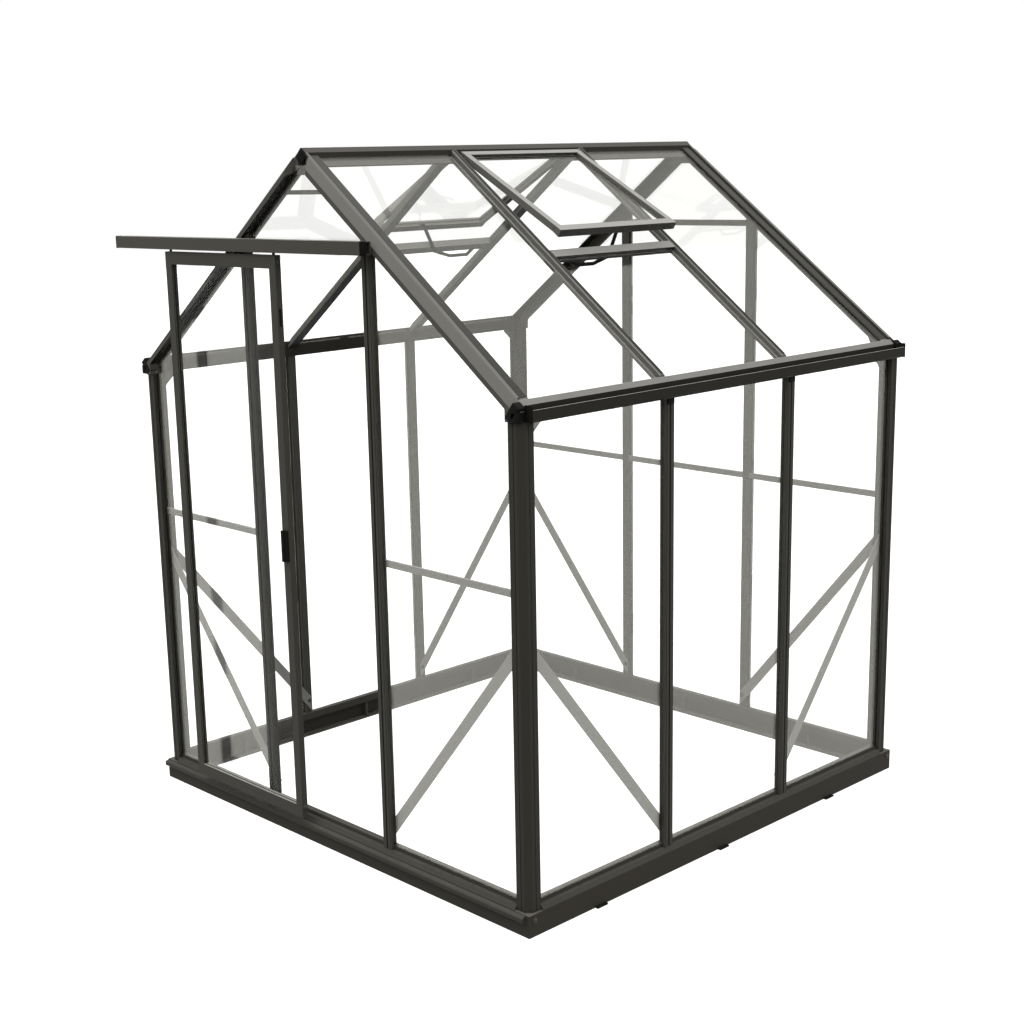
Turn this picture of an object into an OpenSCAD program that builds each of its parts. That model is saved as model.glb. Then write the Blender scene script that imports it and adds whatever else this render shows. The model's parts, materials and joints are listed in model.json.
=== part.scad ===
// Glass greenhouse: a square aluminium frame on a steel base, glazed all round,
// with a sliding door hung outside the front gable and two roof vents propped open.
// Origin: centre of the plan, at ground level. Front gable faces -Y, ridge runs along Y.

/* [Overall] */
// Outside width of the base frame, across the front gable
width = 1940; // [1600:10:2400]
// Outside length of the base frame, along the ridge
length = 1940; // [1600:10:2400]
// Height of the gutter underside above the ground
eave_h = 1557; // [1300:1:1900]
// Roof pitch in degrees
pitch = 37.2; // [25:0.1:45]
// Height of the middle glazing rails
mid_h = 1050; // [800:5:1200]

/* [Base] */
// Height of the base channel
base_h = 72; // [50:1:120]
// Depth of the base channel flanges
base_w = 40; // [30:1:60]
// Sheet thickness of the base channel
base_t = 3; // [2:0.5:5]
// Height of the sill above the base channel
sill_h = 28; // [24:1:45]
// Diameter of the ground anchor pins
anchor_d = 14; // [8:1:20]

/* [Frame profiles] */
// Face width of a glazing bar
bar_w = 40; // [30:1:50]
// Depth of a glazing bar
bar_d = 27; // [24:1:40]
// Side of the corner post section
post_w = 52; // [44:1:70]
// Depth of a gable rafter, square to the slope
rafter_d = 36; // [32:1:44]
// Thickness of a gable rafter along the ridge
rafter_w = 46; // [44:1:60]
// Width of the ridge section
ridge_w = 40; // [36:1:60]
// Width of the flat braces
brace_w = 37; // [20:1:45]
// Thickness of the glass
glass_t = 4; // [3:0.5:4.5]

/* [Door] */
// Width of the sliding door
door_w = 627; // [610:1:660]
// Thickness of the sliding door
door_t = 22; // [18:1:26]
// Face width of the door stiles
stile_w = 34; // [30:1:50]
// How far the door stands open from its closed place
door_open = 390; // [0:5:640]
// Height of the door track section
track_h = 41; // [36:1:50]
// Underside of the door track above the ground
track_z = 2008; // [1960:1:2080]

/* [Vents] */
// Length of a vent down the slope
vent_len = 522; // [420:1:600]
// Thickness of the vent frame
vent_t = 22; // [18:1:26]
// Angle that the vents are propped open
vent_open = 8; // [0:0.5:25]

/* [Hidden] */
$fn = 48;
ct = cos(pitch);
st = sin(pitch);
tn = tan(pitch);
wall_x = width / 2 - 10;
wall_y = length / 2 - 10;
bar_x = (width - 74) / 6;
bar_y = (length - 74) / 6;
ridge_h = eave_h + 42.4 + tn * wall_x;
sill_z = base_h + sill_h;
foot_z = base_h + 15;
slot_a = 12.5;
slot_b = 17.5;
web = 11;
inner = 16;
lip = wall_x - 32;
rafter_out = wall_y + 11;
hinge_x = ridge_w / 2 + 6;
hinge_z = ridge_h - tn * hinge_x - 5;
sill_t1 = hinge_x / ct + vent_len + 8;
sill_t2 = sill_t1 + 34;
rail_half = 11;
head_half = 11;
head_z = track_z + 11;
track_d = 44;
track_y = -rafter_out - 4 - track_d / 2;
track_x1 = -wall_x - 35;
track_x2 = bar_x + 47;
door_z1 = base_h + 23;
door_z2 = track_z - 8;
door_rail = 43;
tie_z = 2192 - 2328 + ridge_h;

function top_z(x) = ridge_h - tn * abs(x);
function under_z(x) = top_z(x) - rafter_d / ct;
function at(t, e) = [t * ct - e * st, ridge_h - t * st - e * ct];
function off(x, e) = [x, top_z(x) - e / ct];

// prism with its section in XZ, running from y0 to y1
module prism_y(y0, y1, pts) {
  translate([0, y1, 0]) rotate([90, 0, 0]) linear_extrude(height = y1 - y0) polygon(pts);
}
// prism with its section in YZ, running from x0 to x1
module prism_x(x0, x1, pts) {
  translate([x0, 0, 0]) rotate([90, 0, 90]) linear_extrude(height = x1 - x0) polygon(pts);
}
// upright prism with its section in XY
module prism_z(z0, z1, pts) {
  translate([0, 0, z0]) linear_extrude(height = z1 - z0) polygon(pts);
}
module block(x0, x1, y0, y1, z0, z1) {
  translate([x0, y0, z0]) cube([x1 - x0, y1 - y0, z1 - z0]);
}
// a wall is drawn as the front one and turned: 0 front, 1 right, 2 rear, 3 left
module wall(i) {
  rotate([0, 0, 90 * i]) children();
}
module both() {
  children();
  mirror([1, 0, 0]) children();
}
module ends() {
  children();
  mirror([0, 1, 0]) children();
}

// base channel, mitred at the corners; oh is half the depth of the plan, sh half its width
module base_side(oh, sh) {
  intersection() {
    prism_x(-sh, sh, [[-oh, 0], [-oh, base_h], [-oh + base_w, base_h], [-oh + base_w, base_h - base_t],
      [-oh + base_t, base_h - base_t], [-oh + base_t, base_t], [-oh + base_w, base_t], [-oh + base_w, 0]]);
    prism_z(-1, base_h + 1, [[-sh, -oh], [sh, -oh], [sh - base_w, -oh + base_w], [-sh + base_w, -oh + base_w]]);
  }
}
module base_front() color("#3b3833") wall(0) base_side(length / 2, width / 2);
module base_rear() color("#3b3833") wall(2) base_side(length / 2, width / 2);
module base_left() color("#3b3833") wall(3) base_side(width / 2, length / 2);
module base_right() color("#3b3833") wall(1) base_side(width / 2, length / 2);

module anchor_row(oh, sb) {
  for (s = [-2 * sb, 0, 2 * sb])
    translate([s, -oh + 22, base_t]) cylinder(d = anchor_d, h = base_h - 2 * base_t);
}
module ground_anchors() color("#2b2a28") {
  wall(0) anchor_row(length / 2, bar_x);
  wall(2) anchor_row(length / 2, bar_x);
  wall(1) anchor_row(width / 2, bar_y);
  wall(3) anchor_row(width / 2, bar_y);
}

// sill section: o is the outer wall plane, drawn towards -Y
module sill_run(oh, sh) {
  prism_x(-sh + post_w, sh - post_w, [[-oh - 10, base_h], [-oh - 10, base_h + 1], [-oh, base_h + 14],
    [-oh + 13, base_h + 15], [-oh + 13, sill_z], [-oh + 35, sill_z], [-oh + 35, base_h]]);
}
// the front sill also has a drip rail on the face of the base
module sill_front() color("#45423d") {
  sill_run(wall_y, wall_x);
  o = length / 2;
  prism_x(-wall_x - 9, wall_x - 5, [[-o, base_h - 24], [-o - 12, base_h - 24], [-o - 15, base_h - 21],
    [-o - 15, base_h - 9], [-o - 12, base_h - 6], [-o, base_h - 2]]);
}
module sill_rear() color("#45423d") wall(2) sill_run(wall_y, wall_x);
module sill_left() color("#45423d") wall(3) sill_run(wall_x, wall_y);
module sill_right() color("#45423d") wall(1) sill_run(wall_x, wall_y);

// corner post with a chamfered outer corner and a slot for each wall's glass
module corner_post() {
  translate([wall_x, -wall_y, 0]) mirror([1, 0, 0])
    prism_z(base_h, eave_h, [[18, 0], [30, 0], [30, 1.5], [33, 1.5], [33, 0], [post_w, 0],
      [post_w, slot_a], [post_w - 8, slot_a], [post_w - 8, slot_b], [post_w, slot_b], [post_w, post_w],
      [slot_b, post_w], [slot_b, post_w - 8], [slot_a, post_w - 8], [slot_a, post_w], [0, post_w],
      [0, 33], [1.5, 33], [1.5, 30], [0, 30], [0, 18]]);
}
module corner_posts() color("#3f3c38") ends() both() corner_post();

// glazing bar section, s across the face and e inwards from the outer plane
bar_face = [[-bar_w / 2, slot_a], [-bar_w / 2, 1.5], [-14, 1.5], [-14, 0], [-3.5, 0], [-3.5, 9], [3.5, 9],
  [3.5, 0], [14, 0], [14, 1.5], [bar_w / 2, 1.5], [bar_w / 2, slot_a]];
bar_full = concat(bar_face, [[web, slot_a], [web, slot_b], [inner, slot_b], [inner, bar_d],
  [-inner, bar_d], [-inner, slot_b], [-web, slot_b], [-web, slot_a]]);
module wall_bar(oh, s, top) {
  translate([s, -oh, 0]) {
    prism_z(foot_z, sill_z, bar_face);
    prism_z(sill_z, top, bar_full);
  }
}
module side_bars() color("#3f3c38") for (i = [1, 3], s = [-1, 1]) wall(i) wall_bar(wall_x, s * bar_y, eave_h);

// gable bars stop under the rafters
module gable_bar(oh, s) {
  difference() {
    wall_bar(oh, s, under_z(s) + 60);
    prism_y(-oh - 40, -oh + 40, [[s - 30, under_z(s - 30)], [s + 30, under_z(s + 30)],
      [s + 30, ridge_h], [s - 30, ridge_h]]);
  }
}
module door_posts() color("#3f3c38") {
  gable_bar(wall_y, -bar_x);
  gable_bar(wall_y, bar_x);
}
module rear_bars() color("#3f3c38") wall(2) {
  gable_bar(wall_y, -bar_x);
  gable_bar(wall_y, bar_x);
}

// glazing rail with a slot above and below
module rail(oh, s0, s1, zc, h) {
  prism_x(s0, s1, [[-oh + 4, zc - h], [-oh + slot_a, zc - h], [-oh + slot_a, zc - h + 5],
    [-oh + slot_b, zc - h + 5], [-oh + slot_b, zc - h], [-oh + 24, zc - h], [-oh + 24, zc + h],
    [-oh + slot_b, zc + h], [-oh + slot_b, zc + h - 5], [-oh + slot_a, zc + h - 5],
    [-oh + slot_a, zc + h], [-oh + 4, zc + h]]);
}
// rail on the inner side of the glass, from a bar's flange to the next
module back_rail(s0, s1) {
  block(s0, s1, -wall_y + slot_b, -wall_y + bar_d, mid_h - rail_half, mid_h + rail_half);
}
module mid_rails() color("#45423d") {
  both() back_rail(bar_x + inner, wall_x - post_w);
  wall(2) both() back_rail(bar_x + inner, wall_x - post_w);
  wall(2) back_rail(-bar_x + inner, bar_x - inner);
}
module rear_crossbar() color("#45423d")
  wall(2) rail(wall_y, -bar_x + bar_w / 2, bar_x - bar_w / 2, head_z, head_half);
module door_header() color("#45423d")
  rail(wall_y, -bar_x + bar_w / 2, bar_x - bar_w / 2, head_z, head_half);

// rafter section, s inwards from its front face and e down from the roof plane: a hood over the gable,
// a rib, a ledge over the edge of the roof glass and a flange under it, slotted for the gable glass
rafter_cut = [[0, 20], [21, 3], [25, 0], [39, 0], [42, 9], [81, 9], [81, slot_a], [38, slot_a], [38, slot_b],
  [rafter_w, slot_b], [rafter_w, rafter_d + 14], [38, rafter_d + 14], [38, rafter_d], [28.5, rafter_d],
  [28.5, rafter_d - 8], [23.5, rafter_d - 8], [23.5, rafter_d], [0, rafter_d]];
// gable rafter, right half of the front gable
module rafter() {
  r0 = ridge_w / 2;
  heel = wall_x - post_w;
  y0 = -rafter_out;
  difference() {
    intersection() {
      translate([0, y0, ridge_h]) rotate([0, 90 + pitch, 0]) rotate([0, 0, 90])
        linear_extrude(height = wall_x / ct + 80) mirror([0, 1, 0]) polygon(rafter_cut);
      union() {
        block(r0, lip, y0 - 1, y0 + 90, eave_h, ridge_h + 10);
        block(lip - 1, wall_x, y0 - 1, y0 + 29, eave_h, ridge_h);
      }
    }
    prism_z(eave_h, ridge_h + 10, [[r0 - 1, y0 - 1], [r0 + 33, y0 - 1], [r0 + 17, y0 + 30], [r0 - 1, y0 + 30]]);
  }
  intersection() {
    union() {
      block(heel, lip, y0, y0 + rafter_w, eave_h, eave_h + 60);
      block(lip - 1, wall_x, y0, y0 + 29, eave_h, eave_h + 60);
    }
    prism_y(y0 - 1, y0 + rafter_w + 1, [off(heel - 9, rafter_d - 2), off(wall_x + 9, rafter_d - 2),
      [wall_x + 9, eave_h - 60], [heel - 9, eave_h - 60]]);
  }
}
module rafters_front() color("#4a4741") both() rafter();
module rafters_rear() color("#4a4741") mirror([0, 1, 0]) both() rafter();

// ridge section, hollow, open at both ends
module ridge() color("#4a4741") {
  r = ridge_w / 2;
  difference() {
    prism_y(-wall_y + 19, wall_y - 19, [[-r, top_z(r) - 36], [-r + 10, top_z(r) - 38], [r - 10, top_z(r) - 38],
      [r, top_z(r) - 36], [r, top_z(r)], [0, ridge_h], [-r, top_z(r)]]);
    prism_y(-wall_y, wall_y, [[-r + 4, top_z(r) - 33], [r - 4, top_z(r) - 33], [r - 4, top_z(r) - 2],
      [0, ridge_h - 5], [-r + 4, top_z(r) - 2]]);
  }
  both() ends() prism_y(bar_y + bar_w / 2, rafter_out - rafter_w,
    [off(r, slot_b + 0.5), off(r + 26, slot_b + 0.5), off(r + 26, slot_b + 4), off(r, slot_b + 4)]);
}

// gutter and eave section
module gutter() {
  o = wall_x + 30;
  prism_y(-wall_y + 20, wall_y - 20, [[lip, eave_h], [o - 6, eave_h], [o, eave_h + 6], [o, eave_h + 36],
    [o - 4, eave_h + 36], [o - 4, eave_h + 7], [lip + 16, eave_h + 7], [lip + 16, eave_h + 44],
    [lip + 3, eave_h + 59], [lip, eave_h + 59]]);
}
module gutter_right() color("#2f2d2a") gutter();
module gutter_left() color("#2f2d2a") mirror([1, 0, 0]) gutter();

// roof glazing bar: a narrow rib over the glass and flanges under it
roof_cut = [[-bar_w / 2, bar_d], [bar_w / 2, bar_d], [bar_w / 2, slot_b], [web, slot_b], [web, 2.5], [6.5, 2.5],
  [6.5, 0], [-6.5, 0], [-6.5, 2.5], [-web, 2.5], [-web, slot_b], [-bar_w / 2, slot_b]];
// it lies on the right slope, cut upright at the ridge and at the gutter wall
module roof_bar(y) {
  intersection() {
    translate([0, y, ridge_h]) rotate([0, 90 + pitch, 0]) rotate([0, 0, 90])
      linear_extrude(height = wall_x / ct + 80) mirror([0, 1, 0]) polygon(roof_cut);
    block(ridge_w / 2, lip, y - 40, y + 40, eave_h - 100, ridge_h + 10);
  }
}
module roof_bars() color("#4a4741") both() {
  roof_bar(-bar_y);
  roof_bar(bar_y);
}

// small tie and hook across the front apex, on the inner faces of the rafters
module apex_tie() color("#55524b") {
  xt = (ridge_h - (rafter_d + 14) / ct - tie_z) / tn + 10;
  block(-xt, xt, -rafter_out + rafter_w, -rafter_out + rafter_w + 4, tie_z - 7, tie_z + 7);
}

// flat diagonal braces on the inner side of every wall
module brace_pair(oh, sh, sb) {
  s1 = sh - post_w;
  zb = 880;
  steep = (zb - sill_z - 48) / (s1 - sb);
  za = sill_z + 12 * steep + brace_w / 2 * sqrt(1 + steep * steep) + 4.5;
  k = (zb - za) / (s1 - sb);
  h = brace_w / 2 * sqrt(1 + k * k);
  both() prism_y(-oh + bar_d, -oh + bar_d + 3, [[sb - 12, za - 12 * k - h], [s1, zb - h], [s1, zb + h],
    [sb - 12, za - 12 * k + h]]);
}
module braces() color("#55524b") {
  wall(0) brace_pair(wall_y, wall_x, bar_x);
  wall(2) brace_pair(wall_y, wall_x, bar_x);
  wall(1) brace_pair(wall_x, wall_y, bar_y);
  wall(3) brace_pair(wall_x, wall_y, bar_y);
}

// gusset plates at the apex, and at the eaves on both faces of every corner
module gable_plates() {
  y0 = -rafter_out + rafter_w;
  q = ridge_w / 2;
  h = wall_x - post_w;
  b = top_z(q) - 38;
  translate([0, 0, 0]) prism_y(y0, y0 + 3, [[-q + 4, b], [q - 4, b], [q + 30, under_z(q + 30) + 18],
    [q + 46, under_z(q + 46) + 6], [q + 14, b - 30], [-q - 14, b - 30], [-q - 46, under_z(q + 46) + 6],
    [-q - 30, under_z(q + 30) + 18]]);
  both() prism_y(y0, y0 + 3, [[h, eave_h - 62], [h, under_z(h) + 20], [h - 60, under_z(h - 60) + 20],
    [h - 72, under_z(h - 72) + 4]]);
}
module eave_plates(oh, sh) {
  both() prism_y(-oh + bar_d, -oh + bar_d + 3, [[sh - post_w, eave_h - 62], [sh - post_w, eave_h],
    [sh - post_w - 62, eave_h], [sh - post_w - 62, eave_h - 6]]);
}
module gusset_plates() color("#55524b") {
  ends() gable_plates();
  wall(1) eave_plates(wall_x, wall_y);
  wall(3) eave_plates(wall_x, wall_y);
}

// glass
ga = slot_a + (slot_b - slot_a - glass_t) / 2;
gb = ga + glass_t;
edge_bar = web + 0.5;
edge_post = post_w - 7.5;
module pane(oh, s0, s1, z0, z1) {
  block(s0, s1, -oh + ga, -oh + gb, z0, z1);
}
module side_glass() {
  c = wall_y - edge_post;
  pane(wall_x, -c, -bar_y - edge_bar, sill_z, eave_h);
  pane(wall_x, -bar_y + edge_bar, bar_y - edge_bar, sill_z, eave_h);
  pane(wall_x, bar_y + edge_bar, c, sill_z, eave_h);
}
module glass_right() color("#dfe6e2", 0.3) wall(1) side_glass();
module glass_left() color("#dfe6e2", 0.3) wall(3) side_glass();
// highest z that gable glass reaches under the slope
function slope_z(x) = under_z(x) + 7.5 / ct;
// full-height pane beside a corner post, notched round the heel of the rafter
module gable_sides() {
  s0 = bar_x + edge_bar;
  s1 = wall_x - edge_post;
  k = wall_x - post_w - 0.5;
  both() prism_y(-wall_y + ga, -wall_y + gb, [[s0, sill_z], [s1, sill_z], [s1, eave_h - 0.5], [k, eave_h - 0.5],
    [k, slope_z(k)], [s0, slope_z(s0)]]);
}
module apex_pane(z0) {
  c = bar_x - edge_bar;
  intersection() {
    prism_y(-wall_y + ga, -wall_y + gb, [[-c, z0], [c, z0], [c, slope_z(c)], [0, slope_z(0)],
      [-c, slope_z(c)]]);
    block(-c - 1, c + 1, -wall_y, -wall_y + 40, z0 - 1, top_z(ridge_w / 2) - 38.5);
  }
}
module glass_front() color("#dfe6e2", 0.3) {
  gable_sides();
  apex_pane(head_z + head_half - 4.5);
}
module glass_rear() color("#dfe6e2", 0.3) wall(2) {
  c = bar_x - edge_bar;
  gable_sides();
  apex_pane(head_z + head_half - 4.5);
  pane(wall_y, -c, c, sill_z, head_z - head_half + 4.5);
}
module roof_pane(y0, y1, x0) {
  x1 = lip - 0.3;
  prism_y(y0, y1, [off(x0, ga), off(x1, ga), off(x1, gb), off(x0, gb)]);
}
module roof_glass() {
  c = rafter_out - rafter_w + 7.5;
  x0 = ridge_w / 2 + 0.3;
  roof_pane(-c, -bar_y - edge_bar, x0);
  roof_pane(bar_y + edge_bar, c, x0);
  roof_pane(-bar_y + edge_bar, bar_y - edge_bar, at(sill_t2 - 7, ga)[0]);
}
module glass_roof_right() color("#dfe6e2", 0.3) roof_glass();
module glass_roof_left() color("#dfe6e2", 0.3) mirror([1, 0, 0]) roof_glass();

// vents, drawn closed on the right slope and turned up about the hinge
vent_c = bar_y - bar_w / 2 - 3;
vent_a = pitch - vent_open;
// the frame's top edge stands this far from the hinge line, so that its lower corner clears the ridge
vent_in = ((vent_t - 5) * sin(vent_a) - 5.7) / cos(vent_a);
module propped() {
  translate([hinge_x, 0, hinge_z]) rotate([0, -vent_open, 0]) rotate([0, pitch, 0]) children();
}
module vent_frame() {
  v = vent_len;
  a = vent_c;
  propped() {
    prism_y(-a, a, [[vent_in, 5], [25, 5], [25, -3.5], [19, -3.5], [19, -8.5], [25, -8.5], [25, 5 - vent_t],
      [vent_in, 5 - vent_t]]);
    prism_y(-a, a, [[v - 25, 5], [v + 4, 5], [v + 4, 5 - vent_t - 4], [v - 25, 5 - vent_t], [v - 25, -8.5],
      [v - 19, -8.5], [v - 19, -3.5], [v - 25, -3.5]]);
    ends() prism_x(25.3, v - 25.3, [[-a, 5], [-a + 25, 5], [-a + 25, -3.5], [-a + 19, -3.5], [-a + 19, -8.5],
      [-a + 25, -8.5], [-a + 25, 5 - vent_t], [-a, 5 - vent_t]]);
  }
}
module vent_frame_right() color("#4a4741") vent_frame();
module vent_frame_left() color("#4a4741") mirror([1, 0, 0]) vent_frame();
module vent_glass() color("#dfe6e2", 0.3) both() propped()
  block(19.5, vent_len - 19.5, -vent_c + 19.5, vent_c - 19.5, -8, -4);
module vent_hinges() color("#55524b") both()
  translate([ridge_w / 2 + 4.1, -vent_c, hinge_z - 1]) rotate([-90, 0, 0]) cylinder(d = 8, h = 2 * vent_c);
// cross rail that the lower roof pane hangs from, with the peg for the stay
peg = at(sill_t1, 14);
module vent_sill() {
  prism_y(-bar_y + bar_w / 2, bar_y - bar_w / 2, [at(sill_t1, 0), at(sill_t2, 0), at(sill_t2, slot_a),
    at(sill_t2 - 8, slot_a), at(sill_t2 - 8, slot_b), at(sill_t2, slot_b), at(sill_t2, bar_d),
    at(sill_t1, bar_d)]);
  prism_y(-bar_y + web, bar_y - web, [at(sill_t1, 0), at(sill_t2, 0), at(sill_t2, slot_a),
    at(sill_t2 - 8, slot_a), at(sill_t2 - 8, slot_b - 0.3), at(sill_t1, slot_b - 0.3)]);
}
module vent_sills() color("#4a4741") {
  vent_sill();
  mirror([1, 0, 0]) vent_sill();
}
// casement stay: pivot rod on the vent, flat bar down past the cross rail, curled grip
module vent_stay() {
  x1 = at(sill_t1, bar_d)[0] - 2;
  t = vent_len - 25.3 - 3 * sin(vent_a);
  vz = hinge_z - t * sin(vent_a) - 13.7 * cos(vent_a);
  vx = hinge_x + t * cos(vent_a) - 13.7 * sin(vent_a);
  z2 = peg[1] - 30;
  prism_x(x1 - 4, x1, [[46, vz - 6], [58, vz + 6], [60, vz - 8], [10, z2], [-70, z2 - 22], [-160, z2 - 22],
    [-200, z2 + 4], [-190, z2 + 12], [-156, z2 - 10], [-70, z2 - 10], [0, z2 + 10]]);
  translate([x1 - 4, 52, vz]) rotate([0, 90, 0]) cylinder(d = 6, h = vx - x1 + 4);
}
module vent_stays() color("#2b2a28") {
  vent_stay();
  mirror([1, 0, 0]) mirror([0, 1, 0]) vent_stay();
}

// box track outside the front gable, slotted underneath
module door_track() color("#403e39") {
  y0 = track_y - track_d / 2;
  y1 = track_y + track_d / 2;
  z0 = track_z;
  z1 = track_z + track_h;
  prism_x(track_x1, track_x2, [[y0, z0], [track_y - 8.5, z0], [track_y - 8.5, z0 + 3], [y0 + 3, z0 + 3],
    [y0 + 3, z1 - 3], [y1 - 3, z1 - 3], [y1 - 3, z0 + 3], [track_y + 8.5, z0 + 3], [track_y + 8.5, z0],
    [y1, z0], [y1, z1], [y0, z1]]);
  both() block(bar_x - 20, bar_x + 20, y1, -wall_y, z0, z0 + 10);
}

// sliding door, drawn at its open rest place
door_x = -door_open;
dl = door_x - door_w / 2;
dr = door_x + door_w / 2;
dy0 = track_y - door_t / 2;
dy1 = track_y + door_t / 2;
module stile(x0, x1, s) {
  g = s > 0 ? x1 : x0;
  difference() {
    block(x0, x1, dy0, dy1, door_z1, door_z2);
    block(g - 7, g + 7, track_y - 2.5, track_y + 2.5, door_z1 - 1, door_z2 + 1);
  }
}
module door_stiles() color("#403e39") {
  stile(dl, dl + stile_w, 1);
  stile(dr - stile_w, dr, -1);
}
module door_rails() color("#403e39") {
  xa = dl + stile_w;
  xb = dr - stile_w;
  c = track_y;
  t0 = door_z2 - door_rail;
  b1 = door_z1 + door_rail;
  prism_x(xa, xb, [[dy0, t0], [c - 2.5, t0], [c - 2.5, t0 + 7], [c + 2.5, t0 + 7], [c + 2.5, t0], [dy1, t0],
    [dy1, door_z2], [dy0, door_z2]]);
  prism_x(xa, xb, [[dy0, door_z1], [dy1, door_z1], [dy1, b1], [c + 2.5, b1], [c + 2.5, b1 - 7],
    [c - 2.5, b1 - 7], [c - 2.5, b1], [dy0, b1]]);
}
module door_glass() color("#dfe6e2", 0.3)
  block(dl + stile_w - 6.5, dr - stile_w + 6.5, track_y - 2, track_y + 2,
    door_z1 + door_rail - 6.5, door_z2 - door_rail + 6.5);
// pull handle on the front face of the closing stile
module door_handle() color("#1f1e1c") {
  h = dr - stile_w + 6;
  prism_z(1000, 1105, [[h, dy0], [h, dy0 - 12], [h + 4, dy0 - 14], [h + 13, dy0 - 14], [h + 17, dy0 - 8],
    [h + 26, dy0 - 5], [h + 26, dy0]]);
}
module roller(x) {
  za = track_z + 3 + 0.3 + 11;
  block(x - 6, x + 6, track_y - 1.5, track_y + 1.5, door_z2, za + 6);
  translate([x, track_y + 14.5, za]) rotate([90, 0, 0]) cylinder(d = 8, h = 29);
  for (s = [-1, 1]) translate([x, track_y + s * 11.5 + 3, za]) rotate([90, 0, 0]) cylinder(d = 22, h = 6);
}
module door_rollers() color("#2b2a28") {
  roller(door_x - door_w / 2 + 20);
  roller(door_x + door_w / 2 - 20);
}

base_front();
base_rear();
base_left();
base_right();
ground_anchors();
sill_front();
sill_rear();
sill_left();
sill_right();
corner_posts();
side_bars();
door_posts();
rear_bars();
mid_rails();
rear_crossbar();
door_header();
rafters_front();
rafters_rear();
ridge();
gutter_left();
gutter_right();
roof_bars();
apex_tie();
braces();
gusset_plates();
glass_front();
glass_rear();
glass_left();
glass_right();
glass_roof_left();
glass_roof_right();
vent_sills();
vent_hinges();
vent_frame_left();
vent_frame_right();
vent_glass();
vent_stays();
door_track();
door_stiles();
door_rails();
door_glass();
door_handle();
door_rollers();
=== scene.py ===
import json
import math
import bpy
from mathutils import Matrix, Vector


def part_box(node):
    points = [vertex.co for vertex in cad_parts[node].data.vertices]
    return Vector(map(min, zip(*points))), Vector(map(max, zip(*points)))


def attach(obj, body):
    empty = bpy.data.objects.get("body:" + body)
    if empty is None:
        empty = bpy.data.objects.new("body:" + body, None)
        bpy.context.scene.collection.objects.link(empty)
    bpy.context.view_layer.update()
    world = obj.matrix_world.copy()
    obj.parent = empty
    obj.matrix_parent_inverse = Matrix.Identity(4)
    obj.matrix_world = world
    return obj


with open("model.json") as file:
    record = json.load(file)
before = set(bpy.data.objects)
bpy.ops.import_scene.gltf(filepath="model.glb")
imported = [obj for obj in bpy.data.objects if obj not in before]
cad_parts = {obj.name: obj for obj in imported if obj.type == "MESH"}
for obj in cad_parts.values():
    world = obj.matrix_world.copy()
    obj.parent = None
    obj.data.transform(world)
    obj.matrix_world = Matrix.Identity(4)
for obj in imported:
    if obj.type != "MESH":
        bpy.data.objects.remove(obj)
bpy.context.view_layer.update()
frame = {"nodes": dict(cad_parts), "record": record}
record = frame["record"]
bpy.ops.object.select_all(action="DESELECT")
print("frame loaded", len(frame["nodes"]), "nodes")


# sockets that can be added and multiplied in plain expressions
class Value:
    # wraps one output socket, so that maths on it adds the nodes
    def __init__(self, tree, socket):
        self.tree = tree
        self.socket = socket

    def maths(self, operation, first, second, clamp=False):
        node = self.tree.nodes.new("ShaderNodeMath")
        node.operation = operation
        node.use_clamp = clamp
        for place, item in enumerate((first, second)):
            if isinstance(item, Value):
                self.tree.links.new(item.socket, node.inputs[place])
            else:
                node.inputs[place].default_value = item
        return Value(self.tree, node.outputs[0])

    def __add__(self, other):
        return self.maths("ADD", self, other)

    def __radd__(self, other):
        return self.maths("ADD", other, self)

    def __sub__(self, other):
        return self.maths("SUBTRACT", self, other)

    def __mul__(self, other):
        return self.maths("MULTIPLY", self, other)

    def __rmul__(self, other):
        return self.maths("MULTIPLY", other, self)

    def __truediv__(self, other):
        return self.maths("DIVIDE", self, other)

    def __pow__(self, other):
        return self.maths("POWER", self, other)

    def clamped(self):
        return self.maths("ADD", self, 0.0, clamp=True)


class Finish:
    # one material, with its Principled shader ready
    def __init__(self, name, **settings):
        self.material = bpy.data.materials.new(name)
        self.material.use_nodes = True
        self.tree = self.material.node_tree
        self.shader = self.tree.nodes["Principled BSDF"]
        for socket, value in settings.items():
            self.shader.inputs[socket.replace("_", " ")].default_value = value

    def add(self, kind, inputs=None, output=0):
        node = self.tree.nodes.new(kind)
        for key, value in (inputs or {}).items():
            if isinstance(value, Value):
                self.tree.links.new(value.socket, node.inputs[key])
            else:
                node.inputs[key].default_value = value
        return Value(self.tree, node.outputs[output])

    def feed(self, socket, value):
        self.tree.links.new(value.socket, self.shader.inputs[socket])

    def place(self):
        return self.add("ShaderNodeTexCoord", output=3)

    def noise(self, scale, detail, stretch=None, rough=0.5):
        where = self.place()
        if stretch:
            where = self.add("ShaderNodeMapping", inputs={"Vector": where, "Scale": stretch})
        look = {"Vector": where, "Scale": scale, "Detail": detail, "Roughness": rough}
        return self.add("ShaderNodeTexNoise", inputs=look)

    def mixColours(self, factor, first, second):
        node = self.tree.nodes.new("ShaderNodeMix")
        node.data_type = "RGBA"
        for key, value in ((0, factor), (6, first), (7, second)):
            if isinstance(value, Value):
                self.tree.links.new(value.socket, node.inputs[key])
            elif key == 0:
                node.inputs[key].default_value = value
            else:
                node.inputs[key].default_value = (*value, 1.0)
        return Value(self.tree, node.outputs[2])


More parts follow.
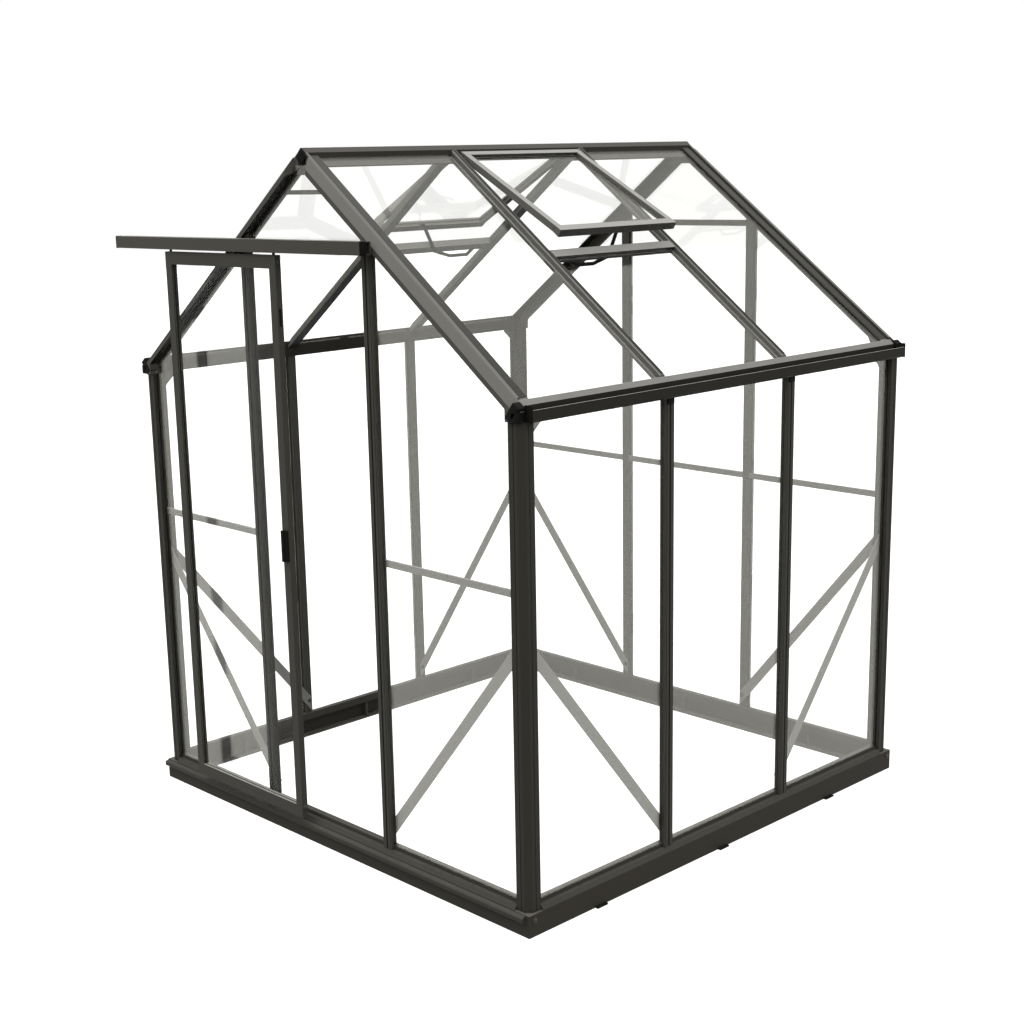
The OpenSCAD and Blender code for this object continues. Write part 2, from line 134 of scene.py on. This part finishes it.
# scales are noise cells per metre; the top values set how far a face must look up before it is painted
# lighter, a painted highlight made patchy like dust
wearAndPaintedLight = {"cloudScale": 2.3, "cloudDetail": 4.0, "grainScale": 620.0, "grainDetail": 2.0, "dustAndSheenScale": 9.0,
        "dustAndSheenDetail": 5.0, "dustAndSheenRough": 0.65, "cloudShare": 0.6, "grainShare": 0.4,
        "topSheenFrom": 0.25, "topSheenLeast": 0.8, "topSheenDrift": 0.4, "underGain": -1.7, "underFrom": 0.2,
        "cloudRough": 0.12, "grainRough": 0.18, "peelHeight": 0.0006}


# powder coat: fine orange peel, slow tone drift, painted lighter where it faces the sky (painted highlight,
# patchy like dust), painted shade underneath
def powderCoat(name, look):
    coat = Finish(name, Metallic=0.0, Specular_IOR_Level=look["shine"])
    cloud = coat.noise(wearAndPaintedLight["cloudScale"], wearAndPaintedLight["cloudDetail"])
    grain = coat.noise(wearAndPaintedLight["grainScale"], wearAndPaintedLight["grainDetail"])
    dustAndSheenNoise = coat.noise(wearAndPaintedLight["dustAndSheenScale"], wearAndPaintedLight["dustAndSheenDetail"], rough=wearAndPaintedLight["dustAndSheenRough"])
    normal = coat.add("ShaderNodeNewGeometry", output=1)
    facing = coat.add("ShaderNodeSeparateXYZ", inputs={"Vector": normal}, output=2)
    speck = cloud * wearAndPaintedLight["cloudShare"] + grain * wearAndPaintedLight["grainShare"]
    tone = coat.mixColours(speck, look["dark"], look["light"])
    # painted highlight: faces that look up are mixed towards a lighter colour, unevenly like dust
    upward = ((facing - wearAndPaintedLight["topSheenFrom"]) / (1.0 - wearAndPaintedLight["topSheenFrom"])).clamped()
    patchy = (wearAndPaintedLight["topSheenLeast"] + wearAndPaintedLight["topSheenDrift"] * dustAndSheenNoise).clamped()
    dustAndSheenTone = coat.mixColours(upward * patchy, tone, look["dustAndSheenColour"])
    # painted shade: faces that look down are mixed towards a darker colour
    below = (facing * wearAndPaintedLight["underGain"] - wearAndPaintedLight["underFrom"]).clamped()
    coat.feed("Base Color", coat.mixColours(below, dustAndSheenTone, look["under"]))
    drift = (cloud - 0.5) * wearAndPaintedLight["cloudRough"]
    coat.feed("Roughness", look["roughness"] + drift + (grain - 0.5) * wearAndPaintedLight["grainRough"])
    bump = coat.add("ShaderNodeBump", inputs={"Strength": look["peel"], "Distance": wearAndPaintedLight["peelHeight"],
                                              "Height": grain})
    coat.feed("Normal", bump)
    return coat.material


# a coat for each kind of member; the rail, frame, post, rafter, shaded, ridge, roofBar, gutter and brace
# coats are lighter and darker copies of the one frame paint, painted light and shade for how lit or shaded
# each member shows
coats = {
    "base": {
        "dark": (0.0320, 0.0290, 0.0240), "light": (0.0470, 0.0430, 0.0355),
        "dustAndSheenColour": (0.1100, 0.1040, 0.0900), "under": (0.0060, 0.0055, 0.0045),
        "shine": 0.03, "roughness": 0.52, "peel": 0.30},
    "sill": {
        "dark": (0.0360, 0.0340, 0.0285), "light": (0.0500, 0.0475, 0.0400),
        "dustAndSheenColour": (0.0680, 0.0650, 0.0570), "under": (0.0045, 0.0042, 0.0035),
        "shine": 0.04, "roughness": 0.45, "peel": 0.25},
    # painted light: the rail coat is a lighter copy of the frame paint
    "rail": {
        "dark": (0.1180, 0.1155, 0.1070), "light": (0.1550, 0.1520, 0.1410),
        "dustAndSheenColour": (0.2200, 0.2160, 0.2060), "under": (0.0200, 0.0190, 0.0170),
        "shine": 0.05, "roughness": 0.42, "peel": 0.25},
    "frame": {
        "dark": (0.0430, 0.0415, 0.0350), "light": (0.0600, 0.0580, 0.0495),
        "dustAndSheenColour": (0.2550, 0.2500, 0.2320), "under": (0.0045, 0.0042, 0.0035),
        "shine": 0.04, "roughness": 0.42, "peel": 0.25},
    # painted shade: the post coat is a darker copy of the frame paint
    "post": {
        "dark": (0.0290, 0.0280, 0.0230), "light": (0.0420, 0.0400, 0.0330),
        "dustAndSheenColour": (0.2400, 0.2350, 0.2180), "under": (0.0045, 0.0042, 0.0035),
        "shine": 0.04, "roughness": 0.42, "peel": 0.25},
    # painted light: the rafter coat is a lighter copy of the frame paint, for the front rafters
    "rafter": {
        "dark": (0.0620, 0.0600, 0.0530), "light": (0.0820, 0.0790, 0.0700),
        "dustAndSheenColour": (0.1850, 0.1810, 0.1680), "under": (0.0045, 0.0042, 0.0035),
        "shine": 0.04, "roughness": 0.42, "peel": 0.25},
    # painted shade: the shaded coat is a darker copy of the frame paint, for the rear rafters
    "shaded": {
        "dark": (0.0260, 0.0250, 0.0210), "light": (0.0380, 0.0365, 0.0305),
        "dustAndSheenColour": (0.2150, 0.2100, 0.1960), "under": (0.0035, 0.0033, 0.0028),
        "shine": 0.03, "roughness": 0.42, "peel": 0.25},
    # painted shade: the ridge coat is a darker copy of the frame paint
    "ridge": {
        "dark": (0.0280, 0.0262, 0.0218), "light": (0.0400, 0.0376, 0.0315),
        "dustAndSheenColour": (0.1050, 0.1020, 0.0940), "under": (0.0045, 0.0042, 0.0035),
        "shine": 0.03, "roughness": 0.42, "peel": 0.25},
    # painted light: the roofBar coat is a lighter copy of the frame paint, for the roof bars and vent frames
    "roofBar": {
        "dark": (0.0900, 0.0880, 0.0800), "light": (0.1250, 0.1220, 0.1120),
        "dustAndSheenColour": (0.3500, 0.3450, 0.3250), "under": (0.0035, 0.0033, 0.0028),
        "shine": 0.04, "roughness": 0.40, "peel": 0.25},
    # painted shade: the gutter coat is a darker copy of the frame paint, with a far lighter top colour as
    # painted highlight
    "gutter": {
        "dark": (0.0190, 0.0178, 0.0148), "light": (0.0270, 0.0252, 0.0208),
        "dustAndSheenColour": (0.3800, 0.3750, 0.3550), "under": (0.0040, 0.0038, 0.0030),
        "shine": 0.03, "roughness": 0.45, "peel": 0.25},
    "track": {
        "dark": (0.0540, 0.0510, 0.0430), "light": (0.0680, 0.0645, 0.0545),
        "dustAndSheenColour": (0.1500, 0.1450, 0.1320), "under": (0.0080, 0.0075, 0.0060),
        "shine": 0.05, "roughness": 0.42, "peel": 0.25},
    # painted light: the brace coat is a lighter copy of the frame paint
    "brace": {
        "dark": (0.1500, 0.1470, 0.1370), "light": (0.2050, 0.2010, 0.1880),
        "dustAndSheenColour": (0.2200, 0.2160, 0.2060), "under": (0.0200, 0.0190, 0.0170),
        "shine": 0.10, "roughness": 0.40, "peel": 0.20},
    "fitting": {
        "dark": (0.0360, 0.0338, 0.0290), "light": (0.0500, 0.0470, 0.0405),
        "dustAndSheenColour": (0.1100, 0.1060, 0.0980), "under": (0.0080, 0.0070, 0.0060),
        "shine": 0.15, "roughness": 0.40, "peel": 0.25},
    "seal": {
        "dark": (0.0070, 0.0070, 0.0068), "light": (0.0130, 0.0130, 0.0120),
        "dustAndSheenColour": (0.1000, 0.0980, 0.0900), "under": (0.0030, 0.0030, 0.0030),
        "shine": 0.03, "roughness": 0.60, "peel": 0.35},
    "black": {
        "dark": (0.0050, 0.0050, 0.0048), "light": (0.0100, 0.0098, 0.0090),
        "dustAndSheenColour": (0.0140, 0.0138, 0.0125), "under": (0.0030, 0.0030, 0.0030),
        "shine": 0.03, "roughness": 0.55, "peel": 0.35},
}
finishes = {name: powderCoat(name + "Coat", look) for name, look in coats.items()}


# glass: a clear sheet that mirrors more towards grazing, with a slow roller wave in its faces
panes = {
    "glass": {"facing": 0.064, "rim": 0.20, "tint": (0.985, 0.980, 0.890), "wave": 0.03},
    "doorGlass": {"facing": 0.002, "rim": 0.20, "tint": (0.985, 0.985, 0.97), "wave": 0.02},
}
sheet = {"roughness": 0.012, "filmScale": 1.3, "filmDetail": 3.0, "filmShare": 0.012, "waveScale": 2.2,
         "waveDetail": 1.0, "waveStretch": (1.0, 1.0, 2.4), "waveHeight": 0.01, "rimPower": 4.0}


def clearGlass(name, look):
    pane = Finish(name, Metallic=1.0, Roughness=sheet["roughness"])
    pane.shader.inputs["Base Color"].default_value = (*look["tint"], 1.0)
    bend = pane.add("ShaderNodeLayerWeight", inputs={"Blend": 0.5}, output=1)
    film = pane.noise(sheet["filmScale"], sheet["filmDetail"])
    mirror = look["facing"] + look["rim"] * bend ** sheet["rimPower"] + (film - 0.5) * sheet["filmShare"]
    pane.feed("Alpha", mirror.clamped())
    wave = pane.noise(sheet["waveScale"], sheet["waveDetail"], stretch=sheet["waveStretch"])
    bump = pane.add("ShaderNodeBump", inputs={"Strength": look["wave"], "Distance": sheet["waveHeight"],
                                              "Height": wave})
    pane.feed("Normal", bump)
    return pane.material


for name, look in panes.items():
    finishes[name] = clearGlass(name, look)

# a finish for each slot of the record, and a closer one where a node has its own; for many frame members that
# is a lighter or darker copy of the frame paint, painted light and shade
slotFinish = {"base_steel": "base", "frame": "frame", "fittings": "fitting", "glass": "glass",
              "plastic": "black"}
ownFinish = {
    "gutter_left": "gutter", "gutter_right": "gutter", "door_track": "track", "door_glass": "doorGlass",
    "vent_stays": "black", "braces": "brace", "mid_rails": "rail", "ridge": "ridge",
    "sill_front": "sill", "sill_rear": "sill", "sill_left": "sill", "sill_right": "sill",
    "rafters_rear": "shaded", "rafters_front": "rafter", "corner_posts": "post", "roof_bars": "roofBar",
    "vent_sills": "roofBar", "vent_frame_left": "roofBar", "vent_frame_right": "roofBar",
}
nodeSlot = {part["node"]: part["material_slot"] for part in record["subparts"]}
for name, piece in frame["nodes"].items():
    piece.data.materials.clear()
    piece.data.materials.append(finishes[ownFinish.get(name, slotFinish[nodeSlot[name]])])
print("finishes on")

# the frame's own measures, read from its boxes
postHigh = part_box("corner_posts")[1]
trackLow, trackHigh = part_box("door_track")
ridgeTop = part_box("ridge")[1][2]
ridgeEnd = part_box("ridge")[1][1]
gutterLow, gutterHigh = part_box("gutter_right")
stileLow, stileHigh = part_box("door_stiles")
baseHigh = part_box("base_right")[1]
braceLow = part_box("braces")[0]
rafterOut = -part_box("rafters_front")[0][1]
wallX = postHigh[0]
eave = postHigh[2]
# from the vent frame out to the middle of a bar, and from the ridge's top down to the line of the glass
fit = {"barPast": 0.023, "ridgeDrop": 0.0424}
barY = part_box("vent_frame_right")[1][1] + fit["barPast"]
slope = math.atan2(ridgeTop - eave - fit["ridgeDrop"], wallX)
halfTurn = Matrix.Rotation(math.pi, 4, "Z")
quarterTurn = Matrix.Rotation(math.pi / 2, 4, "Z")


def startBlock(name, low, high):
    bpy.ops.object.select_all(action="DESELECT")
    bpy.ops.mesh.primitive_cube_add(size=1.0)
    piece = bpy.context.object
    piece.name = name
    piece.scale = [b - a for a, b in zip(low, high)]
    piece.location = [(a + b) / 2 for a, b in zip(low, high)]
    bpy.ops.object.transform_apply(location=True, rotation=True, scale=True)
    return piece


# edges flatter than this, in radians, are shaded smooth
smoothAngle = 0.6


def softenEdges(width, segments=2):
    bpy.ops.object.mode_set(mode="EDIT")
    bpy.ops.mesh.select_all(action="SELECT")
    bpy.ops.mesh.bevel(offset=width, segments=segments)
    bpy.ops.mesh.normals_make_consistent(inside=False)
    bpy.ops.object.mode_set(mode="OBJECT")
    bpy.ops.object.shade_smooth_by_angle(angle=smoothAngle)


def copyOf(piece, move):
    twin = piece.copy()
    twin.data = piece.data.copy()
    twin.data.transform(move)
    bpy.context.collection.objects.link(twin)
    return twin


# the first piece takes in the others, then gets its finish and its body
def gather(pieces, name, finish, body="greenhouse"):
    bpy.ops.object.select_all(action="DESELECT")
    for piece in pieces:
        piece.select_set(True)
    bpy.context.view_layer.objects.active = pieces[0]
    if len(pieces) > 1:
        bpy.ops.object.join()
    whole = pieces[0]
    whole.name = name
    whole.data.materials.clear()
    whole.data.materials.append(finishes[finish])
    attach(whole, body)
    return whole


def onSlope(y, side):
    laid = Matrix.Translation((0, y, ridgeTop)) @ Matrix.Rotation(slope, 4, "Y")
    return laid if side > 0 else halfTurn @ laid


# capping strip over each roof bar's rib
capping = {"half": 0.0046, "low": -0.0004, "high": 0.0032, "start": 0.026, "stop": 1.163, "edge": 0.0012}


def cappingStrips():
    first = startBlock("roofCapping", (capping["start"], -capping["half"], capping["low"]),
                       (capping["stop"], capping["half"], capping["high"]))
    softenEdges(capping["edge"])
    laid = [copyOf(first, onSlope(y, side)) for side in (1, -1) for y in (-barY, barY)]
    bpy.data.objects.remove(first)
    gather(laid, "roof_cappings", "seal")


# black strip on the ledge of each rafter: a rubber glazing seal, whose dark also stands in for the shade
# along the ledge
seal = {"half": 0.0175, "inset": 0.0615, "low": -0.0098, "high": -0.0072, "start": 0.030, "stop": 1.160,
        "edge": 0.0009}


def ledgeSeals():
    first = startBlock("ledgeSeal", (seal["start"], -seal["half"], seal["low"]),
                       (seal["stop"], seal["half"], seal["high"]))
    softenEdges(seal["edge"])
    reach = rafterOut - seal["inset"]
    laid = [copyOf(first, onSlope(y, side)) for side in (1, -1) for y in (-reach, reach)]
    bpy.data.objects.remove(first)
    gather(laid, "rafter_seals", "seal")


# diamond cap that closes each end of the ridge
ridgeCap = {"half": 0.027, "drop": 0.056, "thick": 0.005, "edge": 0.0015}


def ridgeCaps():
    bpy.ops.object.select_all(action="DESELECT")
    bpy.ops.mesh.primitive_cylinder_add(vertices=4, radius=1.0, depth=ridgeCap["thick"],
                                        rotation=(math.pi / 2, 0, 0))
    first = bpy.context.object
    bpy.ops.object.transform_apply(location=True, rotation=True, scale=True)
    first.scale = (ridgeCap["half"], 1.0, ridgeCap["drop"] / 2)
    first.location = (0, -ridgeEnd - ridgeCap["thick"] / 2, ridgeTop - ridgeCap["drop"] / 2)
    bpy.ops.object.transform_apply(location=True, rotation=True, scale=True)
    softenEdges(ridgeCap["edge"])
    gather([first, copyOf(first, halfTurn)], "ridge_end_caps", "black")


# bracket that joins the head of each side bar to the gutter
bracket = {"half": 0.015, "depth": 0.004, "drop": 0.022, "edge": 0.0012}


def gutterBrackets():
    first = startBlock("gutterBracket", (wallX, -bracket["half"], eave - bracket["drop"]),
                       (wallX + bracket["depth"], bracket["half"], eave))
    softenEdges(bracket["edge"])
    made = [copyOf(first, Matrix.Translation((0, y, 0))) for y in (-barY, barY)]
    made += [copyOf(piece, halfTurn) for piece in made]
    bpy.data.objects.remove(first)
    gather(made, "gutter_brackets", "black")


# dark end that closes the foot of each rafter's hood, and the shoe that stands on the post below it
foot = {"start": 1.180, "stop": 1.2105, "deep": 0.056, "rise": 0.0012, "edge": 0.004, "past": 0.001,
        "inset": 0.030, "shoe": 0.028, "tall": 0.030, "shoePast": 0.0015, "shoeSink": 0.001,
        "shoeEdge": 0.003}


def rafterFeet():
    near, far = rafterOut + foot["past"], rafterOut - foot["inset"]
    made = []
    for low, high in ((-near, -far), (far, near)):
        first = startBlock("rafterFoot", (foot["start"], low, -foot["deep"]),
                           (foot["stop"], high, foot["rise"]))
        softenEdges(foot["edge"], 3)
        made += [copyOf(first, onSlope(0, side)) for side in (1, -1)]
        bpy.data.objects.remove(first)
        shoe = startBlock("rafterShoe", (wallX - foot["shoe"], low, eave - foot["shoeSink"]),
                          (wallX + foot["shoePast"], high, eave + foot["tall"]))
        softenEdges(foot["shoeEdge"])
        made += [shoe, copyOf(shoe, halfTurn)]
    gather(made, "rafter_feet", "black")


# plate that closes each end of a gutter
gutterCap = {"thick": 0.004, "high": 0.049, "edge": 0.0012, "over": 0.0005, "past": 0.002}


def gutterCaps():
    over, half = gutterCap["over"], gutterCap["thick"] / 2
    first = startBlock("gutterCap", (wallX + over, -half, gutterLow[2] - over),
                       (gutterHigh[0] + over, half, gutterLow[2] + gutterCap["high"]))
    softenEdges(gutterCap["edge"])
    end = gutterHigh[1] + gutterCap["past"]
    made = [copyOf(first, Matrix.Translation((0, y, 0))) for y in (-end, end)]
    made += [copyOf(piece, halfTurn) for piece in made]
    bpy.data.objects.remove(first)
    gather(made, "gutter_end_caps", "black")


# plates that close the ends of the door track
trackCap = {"thick": 0.003, "over": 0.001, "behind": 0.035, "edge": 0.001}


def trackCaps():
    thick, over = trackCap["thick"], trackCap["over"]
    first = startBlock("trackCap", (trackLow[0] - thick, trackLow[1] - over, trackLow[2] - over),
                       (trackLow[0], trackHigh[1] - trackCap["behind"], trackHigh[2] + over))
    softenEdges(trackCap["edge"])
    twin = copyOf(first, Matrix.Translation((trackHigh[0] - trackLow[0] + thick, 0, 0)))
    gather([first, twin], "track_end_caps", "black")


# hexagon head on a round washer, modelled facing -Y
bolt = {"head": 0.0065, "rise": 0.004, "washer": 0.009, "thin": 0.0014, "headEdge": 0.0008, "rimEdge": 0.0003}


def startBolt():
    bpy.ops.object.select_all(action="DESELECT")
    bpy.ops.mesh.primitive_cylinder_add(vertices=6, radius=bolt["head"], depth=bolt["rise"],
                                        rotation=(math.pi / 2, 0, 0),
                                        location=(0, -bolt["thin"] - bolt["rise"] / 2, 0))
    head = bpy.context.object
    bpy.ops.object.transform_apply(location=True, rotation=True, scale=True)
    softenEdges(bolt["headEdge"])
    bpy.ops.mesh.primitive_cylinder_add(vertices=20, radius=bolt["washer"], depth=bolt["thin"],
                                        rotation=(math.pi / 2, 0, 0), location=(0, -bolt["thin"] / 2, 0))
    bpy.ops.object.transform_apply(location=True, rotation=True, scale=True)
    softenEdges(bolt["rimEdge"])
    head.select_set(True)
    bpy.context.view_layer.objects.active = head
    bpy.ops.object.join()
    return head


# bolts at the ends of the braces on the inner side, and at the corners of the base on the outer side
boltPlace = {"braceThick": 0.003, "gap": 0.0001, "barIn": 0.002, "lowHeight": 0.150, "postIn": 0.062,
             "highHeight": 0.867, "cornerIn": 0.023, "cornerHeight": 0.053}


def frameBolts():
    first = startBolt()
    face = braceLow[1] + boltPlace["braceThick"] + boltPlace["gap"]
    inside = Matrix.Translation((0, face, 0)) @ halfTurn
    spots = [(barY - boltPlace["barIn"], boltPlace["lowHeight"]),
             (postHigh[0] - boltPlace["postIn"], boltPlace["highHeight"])]
    wallBolts = []
    for along, high in spots:
        for way in (-1, 1):
            wallBolts.append(copyOf(first, Matrix.Translation((way * along, 0, high)) @ inside))
    corner = baseHigh[0] - boltPlace["cornerIn"]
    for way in (-1, 1):
        spot = (way * corner, -baseHigh[0], boltPlace["cornerHeight"])
        wallBolts.append(copyOf(first, Matrix.Translation(spot)))
    everyWall = list(wallBolts)
    for turn in (1, 2, 3):
        everyWall += [copyOf(piece, Matrix.Rotation(turn * math.pi / 2, 4, "Z")) for piece in wallBolts]
    bpy.data.objects.remove(first)
    gather(everyWall, "frame_bolts", "fitting")


# small tabs at the foot of the base, where the ground anchors are fixed
tab = {"half": 0.024, "reach": 0.013, "thick": 0.006, "spots": (-0.655, -0.045, 0.565), "overlap": 0.004,
       "lift": 0.0002, "edge": 0.0018}


def anchorTabs():
    first = startBlock("anchorTab", (baseHigh[0] - tab["overlap"], -tab["half"], tab["lift"]),
                       (baseHigh[0] + tab["reach"], tab["half"], tab["thick"]))
    softenEdges(tab["edge"])
    row = [copyOf(first, Matrix.Translation((0, spot, 0))) for spot in tab["spots"]]
    row += [copyOf(piece, halfTurn) for piece in row]
    bpy.data.objects.remove(first)
    gather(row, "anchor_tabs", "black")


# latch slot and two screws in the edge of the closing stile
latch = {"half": 0.0045, "sunk": 0.002, "proud": 0.0006, "low": 1.774, "high": 1.831, "edge": 0.0006,
         "screws": (0.133, 1.976)}


def stileFittings():
    mid = (stileLow[1] + stileHigh[1]) / 2
    side = stileHigh[0]
    slot = startBlock("latchSlot", (side - latch["sunk"], mid - latch["half"], latch["low"]),
                      (side + latch["proud"], mid + latch["half"], latch["high"]))
    softenEdges(latch["edge"])
    gather([slot], "latch_slot", "black", "door")
    first = startBolt()
    screws = [copyOf(first, Matrix.Translation((side, mid, high)) @ quarterTurn) for high in latch["screws"]]
    bpy.data.objects.remove(first)
    gather(screws, "stile_screws", "track", "door")


cappingStrips()
ledgeSeals()
ridgeCaps()
gutterBrackets()
rafterFeet()
gutterCaps()
trackCaps()
frameBolts()
anchorTabs()
stileFittings()
print("small parts on")

# a white floor and a white studio, lit from above
stageLook = {"floorSize": 60.0, "floorDrop": 0.0015, "floorDark": (0.30, 0.30, 0.30),
             "floorLight": (0.32, 0.32, 0.32), "floorGlow": 1.0, "skyTop": 1.75, "skySide": 0.62,
             "skyLow": 0.10, "groundFade": -3.0, "speckScale": 3.0, "speckDetail": 2.0}


def makeFloor():
    bpy.ops.mesh.primitive_plane_add(size=stageLook["floorSize"], location=(0, 0, -stageLook["floorDrop"]))
    floor = bpy.context.object
    floor.name = "floor"
    paint = Finish("floorPaint", Roughness=0.9, Specular_IOR_Level=0.1,
                   Emission_Strength=stageLook["floorGlow"])
    paint.shader.inputs["Emission Color"].default_value = (1.0, 1.0, 1.0, 1.0)
    speck = paint.noise(stageLook["speckScale"], stageLook["speckDetail"])
    paint.feed("Base Color", paint.mixColours(speck, stageLook["floorDark"], stageLook["floorLight"]))
    floor.data.materials.append(paint.material)
    floor.visible_diffuse = False


# plain white wherever it is seen or mirrored; as light it is strong overhead and weak near the ground
def makeSky():
    world = bpy.data.worlds.new("studio")
    world.use_nodes = True
    tree = world.node_tree
    shade = tree.nodes["Background"]
    where = tree.nodes.new("ShaderNodeTexCoord")
    split = tree.nodes.new("ShaderNodeSeparateXYZ")
    tree.links.new(where.outputs["Generated"], split.inputs[0])
    height = Value(tree, split.outputs[2])
    ray = Value(tree, tree.nodes.new("ShaderNodeLightPath").outputs["Is Diffuse Ray"])
    low, side, top = (stageLook[key] for key in ("skyLow", "skySide", "skyTop"))
    below = (height * stageLook["groundFade"]).clamped()
    glow = side + (top - side) * height.clamped() + (low - side) * below
    tree.links.new((1.0 + ray * (glow - 1.0)).socket, shade.inputs["Strength"])
    shade.inputs["Color"].default_value = (1.0, 1.0, 1.0, 1.0)
    bpy.context.scene.world = world


def softBox(name, place, target, size, power):
    bpy.ops.object.light_add(type="AREA", location=place)
    lamp = bpy.context.object
    lamp.name = name
    lamp.data.shape = "RECTANGLE"
    lamp.data.size = size[0]
    lamp.data.size_y = size[1]
    lamp.data.energy = power
    lamp.visible_glossy = False  # no bright patch of the lamp in the roof glass
    aim = Vector(target) - Vector(place)
    lamp.rotation_euler = aim.to_track_quat("-Z", "Y").to_euler()


makeFloor()
makeSky()
softBox("keyLight", (-2.5, -4.5, 6.5), (0, 0, 1.0), (3.0, 3.0), 150)
softBox("sideLight", (6.0, -1.5, 5.0), (0, 0, 1.0), (2.5, 3.0), 60)

# angles in degrees
view = {"place": (4.116, -4.126, 2.262), "azimuth": 47.58, "elevation": 13.03, "roll": -1.60, "lens": 56.94,
        "sensor": 36.0, "shift": (0.0616, 0.0277)}


def makeCamera():
    az, el, roll = (math.radians(view[key]) for key in ("azimuth", "elevation", "roll"))
    back = Vector((math.sin(az) * math.cos(el), -math.cos(az) * math.cos(el), math.sin(el)))
    right = Vector((math.cos(az), math.sin(az), 0.0))
    up = back.cross(right)
    turnedRight = right * math.cos(roll) + up * math.sin(roll)
    turnedUp = up * math.cos(roll) - right * math.sin(roll)
    bpy.ops.object.camera_add()
    camera = bpy.context.object
    camera.name = "mainCamera"
    rows = [(turnedRight[i], turnedUp[i], back[i], view["place"][i]) for i in range(3)]
    camera.matrix_world = Matrix((*rows, (0, 0, 0, 1)))
    camera.data.sensor_width = view["sensor"]
    camera.data.lens = view["lens"]
    camera.data.shift_x, camera.data.shift_y = view["shift"]
    bpy.context.scene.camera = camera


makeCamera()
scene = bpy.context.scene
scene.view_settings.view_transform = "Standard"
scene.view_settings.look = "None"
scene.cycles.transparent_max_bounces = 32
print("stage ready")
